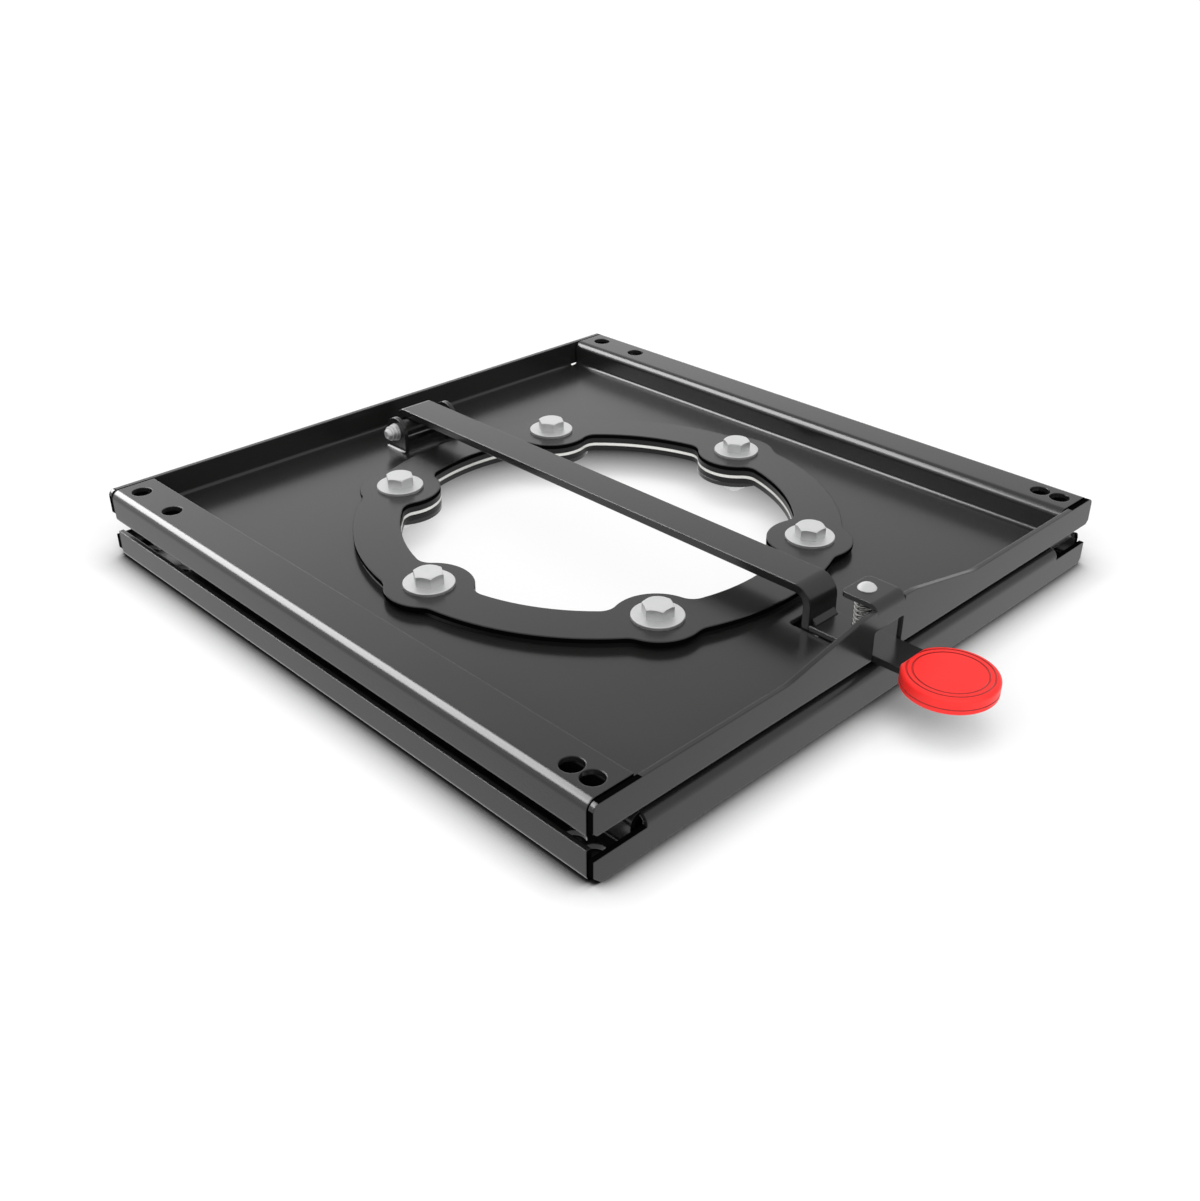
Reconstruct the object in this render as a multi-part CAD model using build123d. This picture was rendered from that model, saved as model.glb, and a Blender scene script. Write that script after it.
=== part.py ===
from build123d import *
import math
import os

# Swivel seat base: an upper seat tray that turns on a lower floor tray and is held by a sprung lock lever.
# Millimetres, +Z up. The origin is on the swivel axis at floor level, and the handle points along -Y.

# Sheet trays
sheet = 3.0
bend_inside = 2.5
foot_bend_inside = 1.0
seat_bend_inside = 0.5
tray_width = 430.0
tray_depth = 436.0
rail_end_gap = 1.3
rail_flange = 29.0
base_top = 21.0
tray_gap = 3.0
rail_top = 45.0
upper_wall_foot = 3.7
base_wall_step = 6.7
bend_relief = 1.0
tab_side_relief = 0.4
base_left_chamfer = 5.0
base_right_chamfer = 3.0
upper_wall_chamfer = 2.4
wall_corner_radius = 4.0

# Fixing holes
rail_hole_radius = 6.2
rail_hole_inset = 14.0
back_hole_inset = 17.0
back_hole_pitch = 37.5
front_hole_inset = 14.7
front_hole_pitch = 13.3
base_hole_inset = 14.0

# Swivel ring stack
bolt_count = 6
bolt_circle = 133.0
ring_inside_bolts = 10.5
ring_overhang = 1.0
lobe_radius = 26.0
lobe_blend_inner = 10.0
lobe_blend_outer = 12.0
clamp_thickness = 3.0
slide_overlap = 7.5
swivel_hole_web = 2.0
swivel_clearance = 0.3
slide_clearance = 0.1
slide_shoulder = 0.6
stack_height = 9.0
base_opening_step = 11.5
bolt_radius = 5.0
bolt_hole_radius = 5.25
bolt_head_flats = 16.0
bolt_head_height = 6.4
bolt_end = 5.0
ring_washer_radius = 15.0
washer_thickness = 2.0
lower_washer_radius = 10.0
ring_nut_height = 8.4
bush_radius = 8.0
seat_clearance = 0.05

# Lock lever
lever_width = 24.0
lever_thickness = 5.2
lever_top = 52.0
leg_inset = 42.0
lever_bend_inside = 6.8
back_bend_inside = 1.5
back_flange_bottom = 40.0
tongue_clearance = 0.5
arm_thickness = 4.0
arm_top = 30.5
arm_past_knob_centre = 5.0
weld_leg = 3.5
weld_length = 19.0

# Lever pivot
pivot_inset = 41.0
pivot_z = 40.0
pivot_radius = 4.0
pivot_running_clearance = 0.05
ear_clearance = 0.1
sleeve_radius = 6.4
sleeve_side_gap = 0.3
ear_inner_face = 20.0
ear_width = 20.0
ear_radius = 10.0
pivot_washer_radius = 5.9
pivot_washer_thickness = 1.0
pivot_head_radius = 6.0
pivot_head_height = 2.0
pivot_nut_height = 4.8
nut_inner_radius = 5.5
nut_inner_height = 2.2
nut_groove_radius = 4.5
nut_edge_radius = 0.7
nut_groove_width = 0.6
nut_outer_radius = 5.0
pivot_bolt_proud = 2.6
pivot_end_radius = 2.5

# Front wall: hump, tab and notch
hump_top = 57.0
hump_flat = 22.0
hump_foot = 82.0
hump_blend = 50.0
tab_top = 60.0
tab_half_width = 12.1
tab_reach = 24.0
tab_corner_radius = 3.0
notch_side_gap = 0.9
notch_top = 45.0
notch_corner_radius = 1.5
slot_behind_leg = 8.3
slot_end_radius = 3.0
lock_slot_clearance = 1.6
lock_slot_radius = 1.5

# Return spring and its pin
pin_inset = 16.0
pin_radius = 3.0
pin_head_radius = 5.3
pin_head_height = 3.0
pin_end = 28.0
pin_hole_clearance = 0.1
arm_pin_hole_radius = 4.5
spring_radius = 6.0
spring_wire = 1.4
spring_pitch = 2.6
spring_seat_thickness = 0.8
spring_seat_radius = 6.5
clip_radius = 4.3
clip_thickness = 1.0

# Handle knob
knob_radius = 25.5
knob_reach = 39.0
knob_bottom = 23.5
knob_top = 33.0
knob_flat_step = 23.3
knob_top_edge = 2.2
knob_bottom_edge = 1.6
outer_groove_radius = 22.8
inner_groove_radius = 19.8
knob_groove_width = 1.0
knob_groove_depth = 0.5
knob_parting_z = 26.6
knob_parting_width = 0.7
knob_screw_radius = 2.0
knob_screw_head_radius = 3.8
knob_screw_head_height = 2.2
knob_screw_spacing = 12.0
knob_screw_step = 13.0
knob_screw_proud = 0.4
knob_screw_clearance = 0.2

# Values that follow from the ones above
rail_x = tray_width / 2
wall_y = tray_depth / 2
rail_hole_x = rail_x - rail_hole_inset
notch_half_width = lever_width / 2 + notch_side_gap
outer_hole_back = wall_y - back_hole_inset
inner_hole_back = outer_hole_back - back_hole_pitch
outer_hole_front = -wall_y + front_hole_inset
inner_hole_front = outer_hole_front + front_hole_pitch
base_hole_y = wall_y - base_hole_inset
base_hole_rows = (-base_hole_y, -base_hole_y + front_hole_pitch, base_hole_y - back_hole_pitch, base_hole_y)
swivel_hole_radius = bolt_circle + bush_radius + swivel_hole_web
slide_outer = swivel_hole_radius + slide_overlap
ring_outer = slide_outer + ring_overhang
ring_inner = bolt_circle - ring_inside_bolts
base_opening_radius = ring_inner + base_opening_step
leg_outer_face = -wall_y + leg_inset
pivot_y = wall_y - pivot_inset
tab_end = -wall_y + tab_reach
pin_y = -wall_y + pin_inset
knob_y = -wall_y - knob_reach
knob_flat = knob_y + knob_flat_step
knob_screw_back = knob_y + knob_screw_step
knob_screw_positions = (knob_screw_back, knob_screw_back - knob_screw_spacing)
arm_end = knob_y - arm_past_knob_centre
slot_end = leg_outer_face + lever_thickness + slot_behind_leg
rail_end = wall_y - sheet - rail_end_gap
bend_outside = bend_inside + sheet
base_mid = base_top - sheet / 2
base_lip_top = base_top - sheet
upper_bottom = base_top + tray_gap
upper_top = upper_bottom + sheet
upper_mid = upper_bottom + sheet / 2
rail_mid = rail_top - sheet / 2
rail_inner = rail_x - rail_flange
upper_wall_edge = upper_bottom + upper_wall_foot
base_wall_edge = base_top - base_wall_step
plate_end = wall_y - bend_outside
plate_half = rail_inner + sheet / 2 - bend_outside
bend_half = plate_half - bend_relief
clamp_bottom = base_top + stack_height
clamp_top = clamp_bottom + clamp_thickness
washer_top = clamp_top + washer_thickness
lever_mid = lever_top - lever_thickness / 2
leg_mid = leg_outer_face + lever_thickness / 2
tongue_tip = base_top + tongue_clearance
arm_bottom = arm_top - arm_thickness
tab_bottom = tab_top - sheet
ear_outer_face = ear_inner_face + sheet
spring_top = tab_bottom - spring_seat_thickness


def block(x_from, x_to, y_from, y_to, z_from, z_to):
    box = Box(x_to - x_from, y_to - y_from, z_to - z_from, align=(Align.MIN, Align.MIN, Align.MIN))
    return Pos(x_from, y_from, z_from) * box


def slab(face, z_from, z_to):
    return extrude(Pos(0, 0, z_from) * face, amount=z_to - z_from, dir=(0, 0, 1))


def along_y(face, y_from, y_to):
    # The section is drawn in X and Z.
    return extrude(Plane.XZ.offset(-y_to) * face, amount=y_to - y_from, dir=(0, -1, 0))


def along_x(face, x_from, x_to):
    # The section is drawn in Y and Z.
    return extrude(Plane.YZ.offset(x_from) * face, amount=x_to - x_from, dir=(1, 0, 0))


def post(x, y, radius, z_from, z_to):
    return slab(Pos(x, y) * Circle(radius), z_from, z_to)


def crossbar(y, z, radius, x_from, x_to):
    return along_x(Pos(y, z) * Circle(radius), x_from, x_to)


def rounded(face, corners, radius):
    # The corners of a flat shape nearest to the given points are rounded.
    chosen = []
    for u, v in corners:
        nearest = sorted(face.vertices(), key=lambda point: math.hypot(point.X - u, point.Y - v))[0]
        chosen.append(nearest)
    return fillet(chosen, radius)


def folded_section(path, thickness, inside_radii):
    # Cross-section of sheet or bar folded at right angles; the path is its middle line.
    points = [Vector(u, v) for u, v in path]
    runs = [(after - before).normalized() for before, after in zip(points, points[1:])]
    sides = [Vector(-run.Y, run.X) for run in runs]
    half = thickness / 2
    left = [points[0] + sides[0] * half]
    right = [points[0] - sides[0] * half]
    left_radii = []
    right_radii = []
    for corner, before, after, inside in zip(points[1:-1], sides, sides[1:], inside_radii):
        mitre = (before + after) * half
        left.append(corner + mitre)
        right.append(corner - mitre)
        turns_left = before.cross(after).Z > 0
        left_radii.append(inside if turns_left else inside + thickness)
        right_radii.append(inside + thickness if turns_left else inside)
    left.append(points[-1] + sides[-1] * half)
    right.append(points[-1] - sides[-1] * half)
    outline = [(point.X, point.Y) for point in left + right[::-1]]
    face = make_face(Polyline(*outline, close=True))
    for point, radius in zip(left[1:-1] + right[1:-1], left_radii + right_radii):
        face = rounded(face, [(point.X, point.Y)], radius)
    return face


def hexagon(flats):
    return RegularPolygon(flats / 2, 6, major_radius=False)


def hex_head(flats, height, chamfer_both):
    # Hexagon prism standing on z 0 with its corners turned off at the top, or at both ends.
    corner = flats / math.sqrt(3)
    turned = corner - flats / 2
    drop = turned * 0.55
    outline = [(0, 0), (corner, 0)]
    if chamfer_both:
        outline = [(0, 0), (corner - turned, 0), (corner, drop)]
    outline += [(corner, height - drop), (corner - turned, height), (0, height)]
    profile = Plane.XZ * make_face(Polyline(*outline, close=True))
    return slab(hexagon(flats), 0, height) & revolve(profile, Axis.Z)


def around(piece):
    copies = []
    for number in range(bolt_count):
        copies.append(Rot(0, 0, 360 * number / bolt_count) * Pos(bolt_circle, 0, 0) * piece)
    return Compound(children=copies)


def bolt_holes(radius, z_from, z_to):
    return [
        post(
            bolt_circle * math.cos(2 * math.pi * number / bolt_count),
            bolt_circle * math.sin(2 * math.pi * number / bolt_count),
            radius,
            z_from,
            z_to,
        )
        for number in range(bolt_count)
    ]


# Ring outline: a flat ring with a rounded lobe around each bolt
lobe_turns = [360 * number / bolt_count for number in range(bolt_count)]
lobes = Sketch() + [Rot(0, 0, turn) * Pos(bolt_circle, 0) * Circle(lobe_radius) for turn in lobe_turns]
ring_face = Circle(ring_outer) - Circle(ring_inner) + lobes
for radius, blend in ((ring_outer, lobe_blend_outer), (ring_inner, lobe_blend_inner)):
    meetings = []
    for point in ring_face.vertices():
        if abs(math.hypot(point.X, point.Y) - radius) < 0.01:
            meetings.append(point)
    ring_face = fillet(meetings, blend)


# Lower tray: plate with an open foot channel and lip on the left, a C rail on the right, and end walls
# folded down
base_path = [
    (-rail_x + sheet / 2, base_lip_top),
    (-rail_x + sheet / 2, sheet / 2),
    (-rail_inner, sheet / 2),
    (-rail_inner, base_mid),
    (rail_x - sheet / 2, base_mid),
    (rail_x - sheet / 2, sheet / 2),
    (rail_inner, sheet / 2),
]
base_bends = [foot_bend_inside, bend_inside, bend_inside, bend_inside, foot_bend_inside]
lower_tray = along_y(folded_section(base_path, sheet, base_bends), -rail_end, rail_end)
base_wall = make_face(
    Polyline(
        (-rail_x, base_wall_edge),
        (-rail_x, base_left_chamfer),
        (-rail_x + base_left_chamfer, 0),
        (rail_x - base_right_chamfer, 0),
        (rail_x, base_right_chamfer),
        (rail_x, base_wall_edge),
        close=True,
    )
)
for side in (-1, 1):
    strip = block(-plate_half, rail_x - bend_outside, plate_end, wall_y, base_top - sheet, base_top)
    if side < 0:
        strip = mirror(strip, Plane.XZ)
    lower_tray -= strip
    fold_path = [(side * (plate_end - bend_outside), base_mid), (side * (wall_y - sheet / 2), base_mid)]
    fold_path.append((side * (wall_y - sheet / 2), base_wall_edge - sheet))
    fold = along_x(folded_section(fold_path, sheet, [bend_inside]), -bend_half, bend_half)
    if side < 0:
        wall = along_y(base_wall, -wall_y, -wall_y + sheet)
    else:
        wall = along_y(base_wall, wall_y - sheet, wall_y)
    lower_tray += fold + wall
base_opening = Circle(base_opening_radius) - lobes
lower_tray -= slab(base_opening, base_top - sheet - 1, base_top + 1)
for hole in bolt_holes(bolt_hole_radius, base_top - sheet - 1, base_top + 1):
    lower_tray -= hole
slot_from = leg_outer_face - lock_slot_clearance
slot_to = leg_outer_face + lever_thickness + lock_slot_clearance
slot_width = lever_width + 2 * lock_slot_clearance
lock_slot = RectangleRounded(slot_width, slot_to - slot_from, lock_slot_radius)
lock_slot = Pos(0, (slot_from + slot_to) / 2) * lock_slot
lower_tray -= slab(lock_slot, base_top - sheet - 1, base_top + 1)
lower_tray -= slab(mirror(lock_slot, Plane.XZ), base_top - sheet - 1, base_top + 1)
for x in (-rail_hole_x, rail_hole_x):
    for y in base_hole_rows:
        lower_tray -= post(x, y, rail_hole_radius, -1, sheet + 1)


# Upper tray: plate with a C rail on the left, a flange with a lip on the right, and end walls folded up
upper_path = [
    (-rail_inner, rail_mid),
    (-rail_x + sheet / 2, rail_mid),
    (-rail_x + sheet / 2, upper_mid),
    (rail_inner, upper_mid),
    (rail_inner, rail_mid),
    (rail_x - sheet / 2, rail_mid),
    (rail_x - sheet / 2, upper_top),
]
upper_bends = [bend_inside, seat_bend_inside, bend_inside, bend_inside, foot_bend_inside]
upper_tray = along_y(folded_section(upper_path, sheet, upper_bends), -rail_end, rail_end)
plate_from = -rail_x + sheet + seat_bend_inside
z_bend_start = rail_inner - sheet / 2 - bend_inside - sheet
for side in (-1, 1):
    strip = block(plate_from, z_bend_start, plate_end, wall_y, upper_bottom, upper_top)
    if side < 0:
        strip = mirror(strip, Plane.XZ)
    upper_tray -= strip
    fold_path = [(side * (plate_end - bend_outside), upper_mid), (side * (wall_y - sheet / 2), upper_mid)]
    fold_path.append((side * (wall_y - sheet / 2), upper_wall_edge + sheet))
    upper_tray += along_x(folded_section(fold_path, sheet, [bend_inside]), -bend_half, z_bend_start)
wall_foot = [
    (-rail_x, upper_wall_edge + upper_wall_chamfer),
    (-rail_x + upper_wall_chamfer, upper_wall_edge),
    (rail_x - upper_wall_chamfer, upper_wall_edge),
    (rail_x, upper_wall_edge + upper_wall_chamfer),
]
back_wall = make_face(Polyline(*wall_foot, (rail_x, rail_top), (-rail_x, rail_top), close=True))
back_wall = rounded(back_wall, [(-rail_x, rail_top), (rail_x, rail_top)], wall_corner_radius)
upper_tray += along_y(back_wall, wall_y - sheet, wall_y)
front_wall = make_face(
    Polyline(
        *wall_foot,
        (rail_x, rail_top),
        (hump_foot, rail_top),
        (hump_flat, hump_top),
        (-hump_flat, hump_top),
        (-hump_foot, rail_top),
        (-rail_x, rail_top),
        close=True,
    )
)
front_wall = rounded(front_wall, [(-rail_x, rail_top), (rail_x, rail_top)], wall_corner_radius)
front_wall = rounded(front_wall, [(-hump_foot, rail_top), (hump_foot, rail_top)], hump_blend)
front_wall = rounded(front_wall, [(-hump_flat, hump_top), (hump_flat, hump_top)], hump_blend)
tab_relief_low = tab_top - bend_outside
tab_relief = 2 * (tab_half_width + tab_side_relief)
front_wall -= Pos(0, tab_relief_low + rail_top / 2) * Rectangle(tab_relief, rail_top)
upper_tray += along_y(front_wall, -wall_y, -wall_y + sheet)
tab_path = [(-wall_y + sheet / 2, tab_relief_low - sheet), (-wall_y + sheet / 2, tab_top - sheet / 2)]
tab_path.append((tab_end, tab_top - sheet / 2))
tab = along_x(folded_section(tab_path, sheet, [bend_inside]), -tab_half_width, tab_half_width)
tab_plan = Pos(0, (tab_end - wall_y) / 2) * Rectangle(2 * tab_half_width, tab_end + wall_y)
tab_plan = rounded(tab_plan, [(-tab_half_width, tab_end), (tab_half_width, tab_end)], tab_corner_radius)
upper_tray += tab & slab(tab_plan, 0, tab_top + 1)

# Notch through the front wall and its fold, running on as a slot for the lever's leg
notch = Pos(0, notch_top / 2) * Rectangle(2 * notch_half_width, notch_top)
notch = rounded(notch, [(-notch_half_width, notch_top), (notch_half_width, notch_top)], notch_corner_radius)
upper_tray -= along_y(notch, -wall_y - 1, -plate_end + bend_relief)
slot = Pos(0, (slot_end - wall_y - 1) / 2) * Rectangle(2 * notch_half_width, slot_end + wall_y + 1)
slot = rounded(slot, [(-notch_half_width, slot_end), (notch_half_width, slot_end)], slot_end_radius)
upper_tray -= slab(slot, upper_bottom - 1, upper_top + 1)

# Pivot ears lanced from the plate and folded up, with the window that they leave between them
window_half = ear_outer_face + bend_inside
window_from = pivot_y - ear_width / 2 - bend_relief
window_to = pivot_y + ear_width / 2 + bend_relief
upper_tray -= block(-window_half, window_half, window_from, window_to, upper_bottom - 1, upper_top + 1)
ear_path = [(window_half + bend_outside, upper_mid), (ear_inner_face + sheet / 2, upper_mid)]
ear_path.append((ear_inner_face + sheet / 2, pivot_z))
ear_fold = folded_section(ear_path, sheet, [bend_inside])
ear = along_y(ear_fold, pivot_y - ear_width / 2, pivot_y + ear_width / 2)
ear += crossbar(pivot_y, pivot_z, ear_radius, ear_inner_face, ear_outer_face)
upper_tray += ear + mirror(ear, Plane.YZ)
ear_hole_radius = pivot_radius + ear_clearance
upper_tray -= crossbar(pivot_y, pivot_z, ear_hole_radius, -ear_outer_face - 1, ear_outer_face + 1)

# Swivel hole, seat fixing holes and pin hole
upper_tray -= post(0, 0, swivel_hole_radius, upper_bottom - 1, upper_top + 1)
for x in (-rail_hole_x, rail_hole_x):
    for y in (outer_hole_back, outer_hole_front, inner_hole_back, inner_hole_front):
        upper_tray -= post(x, y, rail_hole_radius, rail_top - sheet - 1, rail_top + 1)
upper_tray -= post(0, pin_y, pin_radius + pin_hole_clearance, tab_bottom - 1, tab_top + 1)


# Ring stack on the lower tray: the slide rings have a shoulder inside the swivel hole, against the hub ring
clamp_ring = slab(ring_face, clamp_bottom, clamp_top)
for hole in bolt_holes(bolt_hole_radius, clamp_bottom - 1, clamp_top + 1):
    clamp_ring -= hole
clamp_ring = chamfer(clamp_ring.faces().sort_by(Axis.Z)[-1].edges(), 0.4)
slide_face = ring_face & Circle(slide_outer)
hub_face = ring_face & Circle(swivel_hole_radius - swivel_clearance)
hub_bottom = upper_bottom - slide_clearance
hub_top = upper_top + slide_clearance
upper_slide_ring = slab(slide_face, hub_top, clamp_bottom)
upper_slide_ring += slab(hub_face, hub_top - slide_shoulder, hub_top)
hub_ring = slab(hub_face, hub_bottom + slide_shoulder, hub_top - slide_shoulder)
lower_slide_ring = slab(slide_face, base_top, hub_bottom)
lower_slide_ring += slab(hub_face, hub_bottom, hub_bottom + slide_shoulder)
for hole in bolt_holes(bush_radius + seat_clearance, base_top - 1, clamp_bottom + 1):
    upper_slide_ring -= hole
    hub_ring -= hole
    lower_slide_ring -= hole

# Ring fasteners, each drawn on the swivel axis and then set around the bolt circle
ring_washer = slab(Circle(ring_washer_radius) - Circle(bolt_hole_radius), clamp_top, washer_top)
ring_washers = around(chamfer(ring_washer.edges().group_by(Axis.Z)[-1], 0.3))
bolt_head = Pos(0, 0, washer_top) * hex_head(bolt_head_flats, bolt_head_height, False)
bolt_shank = post(0, 0, bolt_radius, bolt_end, washer_top + 1)
bolt_shank = chamfer(bolt_shank.faces().sort_by(Axis.Z)[0].edges(), 0.8)
ring_bolts = around(bolt_head + bolt_shank)
bush_ring = Circle(bush_radius) - Circle(bolt_hole_radius)
spacer_bushes = around(slab(bush_ring, base_top, clamp_bottom))
lower_washer_top = base_top - sheet
lower_washer_bottom = lower_washer_top - washer_thickness
lower_washer = Circle(lower_washer_radius) - Circle(bolt_hole_radius)
lower_washers = around(slab(lower_washer, lower_washer_bottom, lower_washer_top))
nut_bottom = lower_washer_bottom - ring_nut_height
ring_nut = Pos(0, 0, nut_bottom) * hex_head(bolt_head_flats, ring_nut_height, True)
ring_nut -= post(0, 0, bolt_radius + seat_clearance, nut_bottom - 1, lower_washer_bottom + 1)
ring_nuts = around(ring_nut)


# Lock lever: flat bar folded down at the front as the lock tongue and at the back against the pivot sleeve
back_mid = pivot_y + sleeve_radius + lever_thickness / 2
lever_path = [(back_mid, back_flange_bottom), (back_mid, lever_mid)]
lever_path += [(leg_mid, lever_mid), (leg_mid, tongue_tip)]
lever_section = folded_section(lever_path, lever_thickness, [back_bend_inside, lever_bend_inside])
lock_lever = along_x(lever_section, -lever_width / 2, lever_width / 2)

# Handle arm welded to the leg, with the weld bead on top of it
handle_arm = block(-lever_width / 2, lever_width / 2, arm_end, leg_outer_face, arm_bottom, arm_top)
handle_arm -= post(0, pin_y, arm_pin_hole_radius, arm_bottom - 1, arm_top + 1)
for y in knob_screw_positions:
    handle_arm -= post(0, y, knob_screw_radius + seat_clearance, arm_bottom - 1, arm_top + 1)
bead_points = [(leg_outer_face, arm_top), (leg_outer_face - weld_leg, arm_top)]
bead_points.append((leg_outer_face, arm_top + weld_leg))
bead_section = make_face(Polyline(*bead_points, close=True))
weld_bead = along_x(bead_section, -weld_length / 2, weld_length / 2)

# Pivot: sleeve on the lever, a bolt with a low round head, washers and a grooved round nut on the ears
sleeve_half = ear_inner_face - sleeve_side_gap
pivot_sleeve = crossbar(pivot_y, pivot_z, sleeve_radius, -sleeve_half, sleeve_half)
pivot_sleeve -= crossbar(pivot_y, pivot_z, pivot_radius + pivot_running_clearance, -sleeve_half, sleeve_half)
washer_out = ear_outer_face + pivot_washer_thickness
washer_section = Pos(pivot_y, pivot_z) * (Circle(pivot_washer_radius) - Circle(pivot_radius + ear_clearance))
near_washer = along_x(washer_section, -washer_out, -ear_outer_face)
far_washer = along_x(washer_section, ear_outer_face, washer_out)
pivot_washers = Compound(children=[near_washer, far_washer])
pivot_head = crossbar(pivot_y, pivot_z, pivot_head_radius, washer_out, washer_out + pivot_head_height)
pivot_head = fillet(pivot_head.faces().sort_by(Axis.X)[-1].edges(), pivot_head_height / 2)
pivot_end = washer_out + pivot_nut_height + pivot_bolt_proud
pivot_shank = crossbar(pivot_y, pivot_z, pivot_radius, -pivot_end, washer_out + pivot_head_height / 2)
pivot_shank = fillet(pivot_shank.faces().sort_by(Axis.X)[0].edges(), pivot_end_radius)
pivot_bolt = pivot_head + pivot_shank
groove_end = nut_inner_height + nut_groove_width
nut_inner = post(0, 0, nut_inner_radius, 0, nut_inner_height)
nut_inner = fillet(nut_inner.faces().sort_by(Axis.Z)[-1].edges(), nut_edge_radius)
nut_outer = post(0, 0, nut_outer_radius, groove_end, pivot_nut_height)
nut_outer = fillet(nut_outer.edges().filter_by(GeomType.CIRCLE), nut_edge_radius)
pivot_nut = nut_inner + post(0, 0, nut_groove_radius, 0, pivot_nut_height) + nut_outer
pivot_nut -= post(0, 0, pivot_radius + seat_clearance, -1, pivot_nut_height + 1)
pivot_nut = Pos(-washer_out, pivot_y, pivot_z) * Rot(0, -90, 0) * pivot_nut

# Spring pin with a domed head on the tab, its seat washer and clip, and the return spring around it
dome_radius = (pin_head_radius ** 2 + pin_head_height ** 2) / (2 * pin_head_height)
dome = Pos(0, pin_y, tab_top + pin_head_height - dome_radius) * Sphere(dome_radius)
dome &= post(0, pin_y, pin_head_radius, tab_top, tab_top + pin_head_height + 1)
pin_shank = post(0, pin_y, pin_radius, pin_end, tab_top + 1)
spring_pin = dome + chamfer(pin_shank.faces().sort_by(Axis.Z)[0].edges(), 0.6)
seat_hole = pin_radius + pin_hole_clearance
spring_seat = slab(Pos(0, pin_y) * (Circle(spring_seat_radius) - Circle(seat_hole)), spring_top, tab_bottom)
clip_face = Pos(0, pin_y) * (Circle(clip_radius) - Circle(pin_radius))
pin_clip = slab(clip_face, spring_top - clip_thickness, spring_top)
coil_radius = spring_radius - spring_wire / 2
coil_low = arm_top + spring_wire / 2
coil_height = spring_top - arm_top - spring_wire
coil = Helix(spring_pitch, coil_height, coil_radius)
coil_start = Plane(origin=coil @ 0, z_dir=coil % 0)
coil_wire = sweep(coil_start * Circle(spring_wire / 2), path=coil, is_frenet=True)
return_spring = Pos(0, pin_y, coil_low) * coil_wire

# Knob pressed over the arm's end and held by two screws from below
knob_face = Pos(0, knob_y) * Circle(knob_radius)
knob_face -= Pos(0, knob_flat + knob_radius) * Rectangle(2 * knob_radius, 2 * knob_radius)
handle_knob = slab(knob_face, knob_bottom, knob_top)
handle_knob = fillet(handle_knob.faces().sort_by(Axis.Z)[-1].edges(), knob_top_edge)
handle_knob = fillet(handle_knob.faces().sort_by(Axis.Z)[0].edges(), knob_bottom_edge)
pocket_half = lever_width / 2 + seat_clearance
pocket_low = arm_bottom - seat_clearance
pocket_high = arm_top + seat_clearance
pocket_end = arm_end - seat_clearance
handle_knob -= block(-pocket_half, pocket_half, pocket_end, knob_flat + 1, pocket_low, pocket_high)
for radius in (outer_groove_radius, inner_groove_radius):
    groove = Circle(radius) - Circle(radius - knob_groove_width)
    handle_knob -= slab(Pos(0, knob_y) * groove, knob_top - knob_groove_depth, knob_top + 1)
parting_line = Pos(0, knob_y) * (Circle(knob_radius + 1) - Circle(knob_radius - knob_groove_depth))
handle_knob -= slab(parting_line, knob_parting_z, knob_parting_z + knob_parting_width)
screws = []
for y in knob_screw_positions:
    head_top = knob_bottom + knob_screw_head_height
    handle_knob -= post(0, y, knob_screw_radius + seat_clearance, knob_bottom - 1, arm_bottom)
    screw_head = post(0, y, knob_screw_head_radius, knob_bottom - knob_screw_proud, head_top)
    handle_knob -= post(0, y, knob_screw_head_radius + knob_screw_clearance, knob_bottom - 1, head_top)
    screw_head = fillet(screw_head.faces().sort_by(Axis.Z)[0].edges(), 0.6)
    screws.append(screw_head + post(0, y, knob_screw_radius, head_top - 0.5, arm_top))
knob_screws = Compound(children=screws)


os.makedirs("parts", exist_ok=True)
pieces = {
    "lower_tray": lower_tray,
    "upper_tray": upper_tray,
    "clamp_ring": clamp_ring,
    "upper_slide_ring": upper_slide_ring,
    "hub_ring": hub_ring,
    "lower_slide_ring": lower_slide_ring,
    "ring_bolts": ring_bolts,
    "ring_washers": ring_washers,
    "spacer_bushes": spacer_bushes,
    "lower_washers": lower_washers,
    "ring_nuts": ring_nuts,
    "lock_lever": lock_lever,
    "handle_arm": handle_arm,
    "weld_bead": weld_bead,
    "pivot_sleeve": pivot_sleeve,
    "pivot_bolt": pivot_bolt,
    "pivot_nut": pivot_nut,
    "pivot_washers": pivot_washers,
    "spring_pin": spring_pin,
    "spring_seat": spring_seat,
    "pin_clip": pin_clip,
    "return_spring": return_spring,
    "handle_knob": handle_knob,
    "knob_screws": knob_screws,
}
for name, piece in pieces.items():
    export_step(piece, "parts/" + name + ".step")
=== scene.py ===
import math

import bmesh
import bpy
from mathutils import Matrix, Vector

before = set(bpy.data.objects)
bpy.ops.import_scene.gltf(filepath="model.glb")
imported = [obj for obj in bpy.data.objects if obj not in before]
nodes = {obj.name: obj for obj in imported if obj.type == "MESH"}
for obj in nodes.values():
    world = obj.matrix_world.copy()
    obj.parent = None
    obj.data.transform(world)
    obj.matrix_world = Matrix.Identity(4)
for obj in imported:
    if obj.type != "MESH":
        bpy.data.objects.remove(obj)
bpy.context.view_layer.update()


# Lower tray, bolted to the seat box: 3 mm steel sheet, laser cut, folded and then powder coated black.
# Its left side is an open foot channel with a lip, its right side a C rail, and its ends fold down.
MM = 0.001
sheet = 3.0
tray_half_width = 215.0
tray_half_depth = 218.0
rail_flange = 29.0
rail_end_gap = 1.3
wall_face = tray_half_depth - sheet
rail_end = wall_face - rail_end_gap
rail_inside = tray_half_width - rail_flange


def linear(hex_colour):
    # Turns an sRGB hex colour into the linear values that shader sockets take.
    channels = [int(hex_colour[start:start + 2], 16) / 255 for start in (1, 3, 5)]
    return [c / 12.92 if c <= 0.04045 else ((c + 0.055) / 1.055) ** 2.4 for c in channels] + [1.0]


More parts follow.
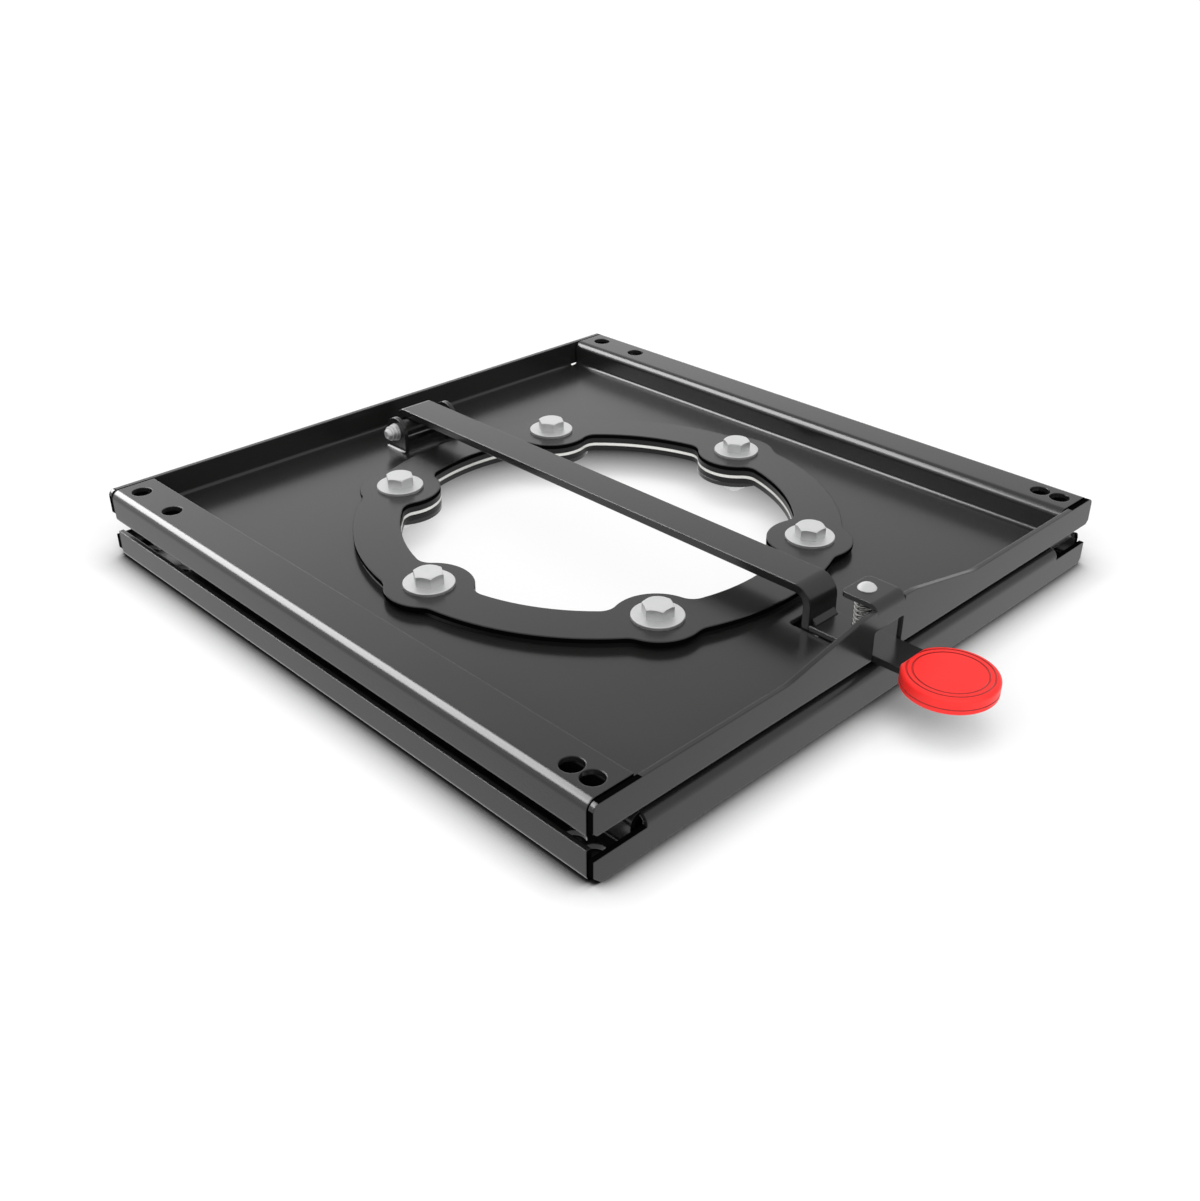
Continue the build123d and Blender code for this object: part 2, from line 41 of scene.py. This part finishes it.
def add_node(tree, kind, settings=None, sockets=None, links=None):
    node = tree.nodes.new(kind)
    for name, value in (settings or {}).items():
        setattr(node, name, value)
    for name, value in (sockets or {}).items():
        node.inputs[name].default_value = value
    for name, source in (links or {}).items():
        tree.links.new(source, node.inputs[name])
    return node


def new_material(name):
    # Gives what each finish works with: its node tree, its shader and the place in the piece's own frame.
    material = bpy.data.materials.new(name)
    material.use_nodes = True
    tree = material.node_tree
    shader = tree.nodes["Principled BSDF"]
    place = add_node(tree, "ShaderNodeTexCoord").outputs["Object"]
    return material, tree, shader, place


# Powder coat: thermoset polyester baked on steel. It flows out to a satin gloss with a shallow orange peel,
# so a black surface mirrors its surroundings softly, turns grey at a low angle and is light on its edges.
coat, tree, shader, place = new_material("black_powder_coat")
peel_width = 2.2
cloud_width = 60.0
coat_edge_radius = 1.0
cloud = add_node(tree, "ShaderNodeTexNoise", sockets={"Scale": 1 / (cloud_width * MM), "Detail": 3.0},
                 links={"Vector": place})
peel = add_node(tree, "ShaderNodeTexNoise", sockets={"Scale": 1 / (peel_width * MM), "Detail": 2.0},
                links={"Vector": place})
black = add_node(tree, "ShaderNodeMix", settings={"data_type": "RGBA"},
                 links={"Factor": cloud.outputs["Fac"]})
black.inputs["A"].default_value = linear("#181817")
black.inputs["B"].default_value = linear("#202020")
gloss = add_node(tree, "ShaderNodeMapRange", sockets={"To Min": 0.19, "To Max": 0.25},
                 links={"Value": cloud.outputs["Fac"]})
tree.links.new(gloss.outputs["Result"], shader.inputs["Roughness"])
shader.inputs["IOR"].default_value = 1.45
edge_round = add_node(tree, "ShaderNodeBevel", settings={"samples": 4},
                      sockets={"Radius": coat_edge_radius * MM})
skin = add_node(tree, "ShaderNodeBump", sockets={"Strength": 0.03, "Distance": 0.2 * MM},
                links={"Height": peel.outputs["Fac"], "Normal": edge_round.outputs["Normal"]})
tree.links.new(skin.outputs["Normal"], shader.inputs["Normal"])

# Painted shade: deep inside the left rail and between the rails' ends and the front wall, where shade
# falls, the coat is painted black and loses its mirror. Each place is a box: two corners and a fading
# border in millimetres.
painted_shade_places = [
    ((-205.0, -213.8, 24.6), (-177.0, 213.8, 41.4), (6.0, 0.1, 0.1)),
    ((-214.0, -218.1, 44.9), (-185.0, -214.9, 46.1), (0.1, 0.1, 0.1)),
    ((190.0, -218.1, 44.9), (212.0, -214.9, 46.1), (0.1, 0.1, 0.1)),
]
painted_shade = None
for low, high, border in painted_shade_places:
    middle = (Vector(low) + Vector(high)) / 2
    half = (Vector(high) - Vector(low)) / 2
    offset = add_node(tree, "ShaderNodeVectorMath", settings={"operation": "SUBTRACT"})
    tree.links.new(place, offset.inputs[0])
    offset.inputs[1].default_value = middle * MM
    away = add_node(tree, "ShaderNodeVectorMath", settings={"operation": "ABSOLUTE"})
    tree.links.new(offset.outputs["Vector"], away.inputs[0])
    along = add_node(tree, "ShaderNodeSeparateXYZ", links={"Vector": away.outputs["Vector"]})
    inside = None
    for axis, reach, fade in zip("XYZ", half, border):
        within = add_node(tree, "ShaderNodeMapRange", links={"Value": along.outputs[axis]},
                          sockets={"From Min": (reach - fade) * MM, "From Max": (reach + fade) * MM,
                                   "To Min": 1.0, "To Max": 0.0}).outputs["Result"]
        if inside:
            both = add_node(tree, "ShaderNodeMath", settings={"operation": "MULTIPLY"})
            tree.links.new(inside, both.inputs[0])
            tree.links.new(within, both.inputs[1])
            within = both.outputs["Value"]
        inside = within
    if painted_shade:
        either = add_node(tree, "ShaderNodeMath", settings={"operation": "MAXIMUM"})
        tree.links.new(painted_shade, either.inputs[0])
        tree.links.new(inside, either.inputs[1])
        inside = either.outputs["Value"]
    painted_shade = inside
# Painted shade: inside these boxes the mirror is turned down and the colour goes to black.
painted_shade_gloss = add_node(tree, "ShaderNodeMapRange", sockets={"To Min": 0.5, "To Max": 0.0},
                        links={"Value": painted_shade})
tree.links.new(painted_shade_gloss.outputs["Result"], shader.inputs["Specular IOR Level"])
painted_shade_black = add_node(tree, "ShaderNodeMix", settings={"data_type": "RGBA"}, links={"Factor": painted_shade})
tree.links.new(black.outputs["Result"], painted_shade_black.inputs["A"])
painted_shade_black.inputs["B"].default_value = linear("#070707")
tree.links.new(painted_shade_black.outputs["Result"], shader.inputs["Base Color"])

# Laser-cut edge under the coat, painted black with no mirror: painted shade, for the dark these narrow
# faces show in the gaps at the tray corners and around the clamp ring. The laser's drag marks are finer
# than this on a real edge, and are drawn coarser so that they can show.
cut_edge, tree, shader, place = new_material("painted_shade_cut_edge")
drag_width = 0.8
drag = add_node(tree, "ShaderNodeTexNoise", sockets={"Scale": 1 / (drag_width * MM), "Detail": 2.0},
                links={"Vector": place})
dull = add_node(tree, "ShaderNodeMapRange", sockets={"To Min": 0.55, "To Max": 0.75},
                links={"Value": drag.outputs["Fac"]})
shader.inputs["Base Color"].default_value = linear("#070707")
tree.links.new(dull.outputs["Result"], shader.inputs["Roughness"])
shader.inputs["Specular IOR Level"].default_value = 0.0


def dress(name, material, edge=0.0):
    # A CAD piece takes its finish. Its loose triangles are joined and its normals follow the large faces,
    # so bends shade smoothly and flats stay flat. With an edge given, flats are merged and edges rounded.
    piece = nodes[name]
    piece.data.materials.clear()
    piece.data.materials.append(material)
    piece.data.shade_smooth()
    joined = piece.modifiers.new("joined", "WELD")
    joined.merge_threshold = 0.002 * MM
    if edge:
        merged = piece.modifiers.new("merged", "DECIMATE")
        merged.decimate_type = "DISSOLVE"
        merged.angle_limit = math.radians(0.6)
        merged.delimit = {"MATERIAL"}
        rounded = piece.modifiers.new("rounded", "BEVEL")
        rounded.width = edge * MM
        rounded.segments = 2
        rounded.limit_method = "ANGLE"
        rounded.angle_limit = math.radians(40)
        rounded.use_clamp_overlap = False
        rounded.material = 0
    creased = piece.modifiers.new("creased", "EDGE_SPLIT")
    creased.split_angle = math.radians(35)
    evened = piece.modifiers.new("evened", "WEIGHTED_NORMAL")
    evened.weight = 100
    return piece


def show_cut_edges(piece, is_cut):
    # Faces across the sheet's thickness show the cut edge's painted shade.
    piece.data.materials.append(cut_edge)
    for face in piece.data.polygons:
        if is_cut(face.center / MM, face.normal):
            face.material_index = 1


def tray_edge(centre, normal):
    # The edges at a tray's corners: those of the end walls beside the rails, and the rails' own ends.
    square = 0.99
    slack = 0.1
    if abs(centre.y) > wall_face:
        return abs(centre.x) > rail_inside and max(abs(normal.x), abs(normal.z)) > square
    return abs(normal.y) > square and abs(abs(centre.y) - rail_end) < slack


show_cut_edges(dress("lower_tray", coat), tray_edge)


# Slide rings and hub ring: flat rings of bearing plastic between the trays, held by the ring bolts.
# The slide rings are black acetal; the hub ring is natural polymer and shows as a pale line inside.
# Acetal leaves its mould smooth and a little waxy, so it has a soft sheen and no sharp reflection.
acetal_grain = 1.5
acetal, tree, shader, place = new_material("black_acetal")
mould = add_node(tree, "ShaderNodeTexNoise", sockets={"Scale": 1 / (acetal_grain * MM), "Detail": 4.0},
                 links={"Vector": place})
satin = add_node(tree, "ShaderNodeMapRange", sockets={"To Min": 0.35, "To Max": 0.5},
                 links={"Value": mould.outputs["Fac"]})
shader.inputs["Base Color"].default_value = linear("#0c0c0c")
tree.links.new(satin.outputs["Result"], shader.inputs["Roughness"])
shader.inputs["Specular IOR Level"].default_value = 0.3
natural, tree, shader, place = new_material("natural_acetal")
mould = add_node(tree, "ShaderNodeTexNoise", sockets={"Scale": 1 / (acetal_grain * MM), "Detail": 4.0},
                 links={"Vector": place})
pale = add_node(tree, "ShaderNodeMix", settings={"data_type": "RGBA"},
                links={"Factor": mould.outputs["Fac"]})
pale.inputs["A"].default_value = linear("#dcdbd7")
pale.inputs["B"].default_value = linear("#eae9e6")
tree.links.new(pale.outputs["Result"], shader.inputs["Base Color"])
shader.inputs["Roughness"].default_value = 0.45
dress("lower_slide_ring", acetal)
dress("hub_ring", natural)
dress("upper_slide_ring", acetal)


# Clamp ring: a flat steel ring with a lobe around each bolt, laser cut and powder coated.
# It lies on the upper slide ring and keeps the seat tray from lifting. Its upright faces are cut edges.
# Its upright faces take the cut edge's painted shade.
show_cut_edges(dress("clamp_ring", coat), lambda centre, normal: abs(normal.z) < 0.1)


# Ring fasteners: M10 hex bolts with wide washers above, bushes through the rings, washers and nuts below.
# They are cold-formed steel, and their zinc plate is bright but frosted, so each face shows one even grey.
# The plate's own grain is finer than half a millimetre, and is drawn coarser so that it can show.
zinc, tree, shader, place = new_material("bright_zinc_plate")
zinc_bloom = 5.0
zinc_grain = 0.5
zinc_edge_radius = 0.5
bloom = add_node(tree, "ShaderNodeTexNoise", sockets={"Scale": 1 / (zinc_bloom * MM), "Detail": 3.0},
                 links={"Vector": place})
grain = add_node(tree, "ShaderNodeTexNoise", sockets={"Scale": 1 / (zinc_grain * MM), "Detail": 2.0},
                 links={"Vector": place})
plate = add_node(tree, "ShaderNodeMix", settings={"data_type": "RGBA"},
                 links={"Factor": bloom.outputs["Fac"]})
plate.inputs["A"].default_value = linear("#d4d5d6")
plate.inputs["B"].default_value = linear("#e2e2e1")
tree.links.new(plate.outputs["Result"], shader.inputs["Base Color"])
shader.inputs["Metallic"].default_value = 1.0
frost = add_node(tree, "ShaderNodeMapRange", sockets={"To Min": 0.46, "To Max": 0.56},
                 links={"Value": bloom.outputs["Fac"]})
tree.links.new(frost.outputs["Result"], shader.inputs["Roughness"])
edge_round = add_node(tree, "ShaderNodeBevel", settings={"samples": 4},
                      sockets={"Radius": zinc_edge_radius * MM})
skin = add_node(tree, "ShaderNodeBump", sockets={"Strength": 0.05, "Distance": 0.1 * MM},
                links={"Height": grain.outputs["Fac"], "Normal": edge_round.outputs["Normal"]})
tree.links.new(skin.outputs["Normal"], shader.inputs["Normal"])
for name in ("ring_bolts", "ring_washers", "spacer_bushes", "lower_washers", "ring_nuts"):
    dress(name, zinc)


# Upper tray, which carries the seat: one folded sheet with rails, end walls, hump, tab and lanced ears.
# Same steel and powder coat as the lower tray; its swivel hole runs between the slide rings.
show_cut_edges(dress("upper_tray", coat), tray_edge)


# Lock lever and handle arm: flat steel bar, bent at both ends, with the arm welded to its leg.
# Both are coated together with their weld; the sleeve under the back bend turns on the pivot bolt.
lever_edge = 0.4
arm_edge = 0.35
dress("lock_lever", coat, lever_edge)
dress("handle_arm", coat, arm_edge)
dress("weld_bead", coat)
dress("pivot_sleeve", coat)


# Pivot fasteners: a bolt with a low round head through the ears, washers and a grooved round nut.
# They are zinc plated like the ring bolts, and the nut is drawn up only as far as the lever still turns.
for name in ("pivot_bolt", "pivot_nut", "pivot_washers"):
    dress(name, zinc)


# Return spring on its domed pin, which hangs from the tab with a seat washer and a clip, all plated steel.
# The spring is coiled from drawn wire and presses the handle arm down.
for name in ("spring_pin", "spring_seat", "pin_clip"):
    dress(name, zinc)

# Drawn wire: the die leaves it smooth and grey, so each coil has a narrow light line between dark gaps.
# Real draw marks are too fine to show, and are drawn coarser.
wire, tree, shader, place = new_material("drawn_spring_wire")
draw_mark_width = 0.4
draw_marks = add_node(tree, "ShaderNodeTexNoise", links={"Vector": place},
                      sockets={"Scale": 1 / (draw_mark_width * MM), "Detail": 2.0})
grey = add_node(tree, "ShaderNodeMix", settings={"data_type": "RGBA"},
                links={"Factor": draw_marks.outputs["Fac"]})
grey.inputs["A"].default_value = linear("#93938f")
grey.inputs["B"].default_value = linear("#a5a5a2")
tree.links.new(grey.outputs["Result"], shader.inputs["Base Color"])
shader.inputs["Metallic"].default_value = 1.0
shader.inputs["Roughness"].default_value = 0.22
dress("return_spring", wire)


# Handle knob: a disc moulded in red ABS and pushed over the arm's end, held by two screws from below.
# The mould leaves an even grain, drawn coarser here so that it can show. The red is bright with a dull
# sheen, and its grooves lie in shade.
red, tree, shader, place = new_material("red_moulded_abs")
abs_grain = 0.6
tone_width = 14.0
groove_shade_reach = 1.2
mould = add_node(tree, "ShaderNodeTexNoise", sockets={"Scale": 1 / (abs_grain * MM), "Detail": 3.0},
                 links={"Vector": place})
tone = add_node(tree, "ShaderNodeTexNoise", sockets={"Scale": 1 / (tone_width * MM), "Detail": 2.0},
                links={"Vector": place})
dye = add_node(tree, "ShaderNodeMix", settings={"data_type": "RGBA"}, links={"Factor": tone.outputs["Fac"]})
dye.inputs["A"].default_value = linear("#f52b28")
dye.inputs["B"].default_value = linear("#fa3330")
crevice = add_node(tree, "ShaderNodeAmbientOcclusion", settings={"samples": 8},
                   sockets={"Distance": groove_shade_reach * MM})
depth = add_node(tree, "ShaderNodeMapRange", links={"Value": crevice.outputs["AO"]},
                 sockets={"From Min": 0.55, "From Max": 0.92, "To Min": 1.0, "To Max": 0.0})
shaded = add_node(tree, "ShaderNodeMix", settings={"data_type": "RGBA"},
                  links={"Factor": depth.outputs["Result"]})
tree.links.new(dye.outputs["Result"], shaded.inputs["A"])
shaded.inputs["B"].default_value = linear("#a01c1a")
tree.links.new(shaded.outputs["Result"], shader.inputs["Base Color"])
sheen = add_node(tree, "ShaderNodeMapRange", sockets={"To Min": 0.3, "To Max": 0.42},
                 links={"Value": mould.outputs["Fac"]})
tree.links.new(sheen.outputs["Result"], shader.inputs["Roughness"])
skin = add_node(tree, "ShaderNodeBump", sockets={"Strength": 0.05, "Distance": 0.1 * MM},
                links={"Height": mould.outputs["Fac"]})
tree.links.new(skin.outputs["Normal"], shader.inputs["Normal"])
shader.inputs["Specular IOR Level"].default_value = 0.25
knob = dress("handle_knob", red)
# The knob throws no red onto the coat or the floor, which stay neutral beside it.
knob.visible_glossy = False
knob.visible_diffuse = False
dress("knob_screws", zinc)


# Studio: a pale paper floor in a white room, under a broad sky from the front left and a softbox behind.
# It is seen from the handle's corner and from above.
scene = bpy.context.scene
scene.view_settings.view_transform = "Standard"

# White room: white to the camera and a weak fill on dull surfaces. In a reflection it is brightest low at
# the back.
world = bpy.data.worlds.new("white_room")
scene.world = world
world.use_nodes = True
tree = world.node_tree
room_fill = 0.14
ray = add_node(tree, "ShaderNodeLightPath")
seen = add_node(tree, "ShaderNodeMath", settings={"operation": "MAXIMUM"})
tree.links.new(ray.outputs["Is Camera Ray"], seen.inputs[0])
tree.links.new(ray.outputs["Is Transmission Ray"], seen.inputs[1])
room = tree.nodes["Background"]
room.inputs["Color"].default_value = linear("#ffffff")
shown_level = add_node(tree, "ShaderNodeMapRange", sockets={"To Min": room_fill, "To Max": 1.0},
                       links={"Value": seen.outputs["Value"]})
direction = add_node(tree, "ShaderNodeTexCoord").outputs["Generated"]
low_at_back = add_node(tree, "ShaderNodeVectorMath", settings={"operation": "DOT_PRODUCT"})
tree.links.new(direction, low_at_back.inputs[0])
low_at_back.inputs[1].default_value = (0.0, 1.0, -1.0)
mirrored = add_node(tree, "ShaderNodeMapRange", links={"Value": low_at_back.outputs["Value"]},
                    sockets={"From Min": -0.1, "From Max": 0.5, "To Min": 0.88, "To Max": 1.45})
strength = add_node(tree, "ShaderNodeMix", links={"Factor": ray.outputs["Is Glossy Ray"]})
tree.links.new(shown_level.outputs["Result"], strength.inputs["A"])
tree.links.new(mirrored.outputs["Result"], strength.inputs["B"])
tree.links.new(strength.outputs["Result"], room.inputs["Strength"])

# The floor reaches this many metres each way from the swivel axis.
floor_reach = 6.0
floor_mesh = bpy.data.meshes.new("floor")
shape = bmesh.new()
bmesh.ops.create_grid(shape, x_segments=1, y_segments=1, size=floor_reach)
shape.to_mesh(floor_mesh)
shape.free()
floor = bpy.data.objects.new("floor", floor_mesh)
scene.collection.objects.link(floor)

# Paper floor: matt white. It darkens close to the part, which gives the shadow where the part stands.
# Under the swivel opening a painted pool of light makes the camera see it lit, and a reflection sees it
# white.
paper, tree, shader, place = new_material("white_paper_floor")
contact_reach = 25.0
painted_light_inside = 105.0
painted_light_until = 172.0
painted_light_share = 0.9
openness = add_node(tree, "ShaderNodeAmbientOcclusion", settings={"samples": 16},
                    sockets={"Distance": contact_reach * MM})
contact = add_node(tree, "ShaderNodeValToRGB", links={"Fac": openness.outputs["AO"]})
stops = contact.color_ramp.elements
stops[0].position = 0.3
stops[0].color = linear("#191919")
stops[1].position = 1.0
stops[1].color = linear("#fcfcfc")
for position, shade in ((0.5, "#3f3f3f"), (0.64, "#aeaeae"), (0.76, "#d9d9d9"), (0.89, "#f0f0f0")):
    stops.new(position).color = linear(shade)
tree.links.new(contact.outputs["Color"], shader.inputs["Base Color"])
shader.inputs["Roughness"].default_value = 1.0
shader.inputs["Specular IOR Level"].default_value = 0.0
# Painted light: near the swivel axis the floor glows white to the camera, over the shade beneath the trays.
from_axis = add_node(tree, "ShaderNodeVectorMath", settings={"operation": "LENGTH"},
                     links={"Vector": place})
painted_light_pool = add_node(tree, "ShaderNodeMapRange", links={"Value": from_axis.outputs["Value"]},
                sockets={"From Min": painted_light_inside * MM, "From Max": painted_light_until * MM,
                         "To Min": painted_light_share, "To Max": 0.0})
ray = add_node(tree, "ShaderNodeLightPath")
lit = add_node(tree, "ShaderNodeMath", settings={"operation": "MULTIPLY"})
tree.links.new(painted_light_pool.outputs["Result"], lit.inputs[0])
tree.links.new(ray.outputs["Is Camera Ray"], lit.inputs[1])
bright = add_node(tree, "ShaderNodeMath", settings={"operation": "MAXIMUM"})
tree.links.new(lit.outputs["Value"], bright.inputs[0])
tree.links.new(ray.outputs["Is Glossy Ray"], bright.inputs[1])
white = add_node(tree, "ShaderNodeEmission", sockets={"Color": linear("#ffffff"), "Strength": 1.0})
shown = add_node(tree, "ShaderNodeMixShader", links={"Fac": bright.outputs["Value"]})
tree.links.new(shader.outputs["BSDF"], shown.inputs[1])
tree.links.new(white.outputs["Emission"], shown.inputs[2])
tree.links.new(shown.outputs["Shader"], tree.nodes["Material Output"].inputs["Surface"])
floor.data.materials.append(paper)

# Front sky: broad and soft, from above and from the front left. It lights colours and isn't mirrored.
sky_angle = 115
sky_direction = Vector((0.35, 0.35, -0.87))
sun = bpy.data.lights.new("front_sky", "SUN")
sun.energy = 3.45
sun.angle = math.radians(sky_angle)
front_sky = bpy.data.objects.new("front_sky", sun)
front_sky.rotation_euler = sky_direction.to_track_quat("-Z", "Y").to_euler()
front_sky.visible_glossy = False
scene.collection.objects.link(front_sky)

# Softbox behind on the left, facing down: only the trays, lever and arm mirror it, as a white line on their
# bends. Its size and place are in metres, and its power is worked out from how bright it looks in them.
softbox_width = 1.35
softbox_length = 2.6
softbox_level = 13
softbox_place = (-0.65, 1.65, 0.9)
box_light = bpy.data.lights.new("left_softbox", "AREA")
box_light.shape = "RECTANGLE"
box_light.size = softbox_width
box_light.size_y = softbox_length
box_light.energy = softbox_level * math.pi * softbox_width * softbox_length
softbox = bpy.data.objects.new("left_softbox", box_light)
softbox.location = softbox_place
softbox.visible_diffuse = False
softbox_sees = bpy.data.collections.new("softbox_sees")
for name in ("lower_tray", "upper_tray", "lock_lever", "handle_arm"):
    softbox_sees.objects.link(nodes[name])
softbox.light_linking.receiver_collection = softbox_sees
scene.collection.objects.link(softbox)

# Camera: its place in millimetres, then its heading and how far it looks down, in degrees.
camera_place = Vector((-523.09, -537.35, 403.83)) * MM
camera_heading = -44.351
camera_down = 30.141
lens = bpy.data.cameras.new("camera")
lens.sensor_fit = "HORIZONTAL"
lens.sensor_width = 36.0
lens.lens = 39.98
lens.clip_start = 0.01
camera = bpy.data.objects.new("camera", lens)
camera.location = camera_place
camera.rotation_euler = (math.radians(90 - camera_down), 0, math.radians(camera_heading))
scene.collection.objects.link(camera)
scene.camera = camera
